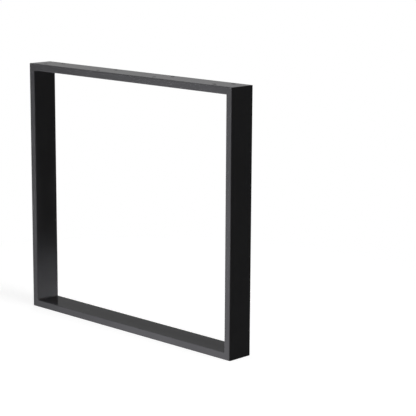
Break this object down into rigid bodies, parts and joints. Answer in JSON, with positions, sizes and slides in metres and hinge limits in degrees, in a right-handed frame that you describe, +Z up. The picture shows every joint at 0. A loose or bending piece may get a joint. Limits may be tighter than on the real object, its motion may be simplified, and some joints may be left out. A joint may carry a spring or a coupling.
{
  "type": "table leg frame",
  "caption": "Closed rectangular table leg frame of flat steel tube, mitred and welded, drilled through its top rail for table top screws.",
  "frame": {"origin": "on the floor, under the middle of the bottom rail", "axes": "+X along the rails, +Y through the frame from front to back, +Z up"},
  "size_m": [0.8, 0.08, 0.72],
  "materials": {
    "powder_coat": "half-glossy black powder coat on steel tube"
  },
  "bodies": {
    "root": {"top_rail": "powder_coat", "bottom_rail": "powder_coat", "left_upright": "powder_coat", "right_upright": "powder_coat", "weld_top_left": "powder_coat", "weld_top_right": "powder_coat", "weld_bottom_left": "powder_coat", "weld_bottom_right": "powder_coat"}
  },
  "joints": []
}
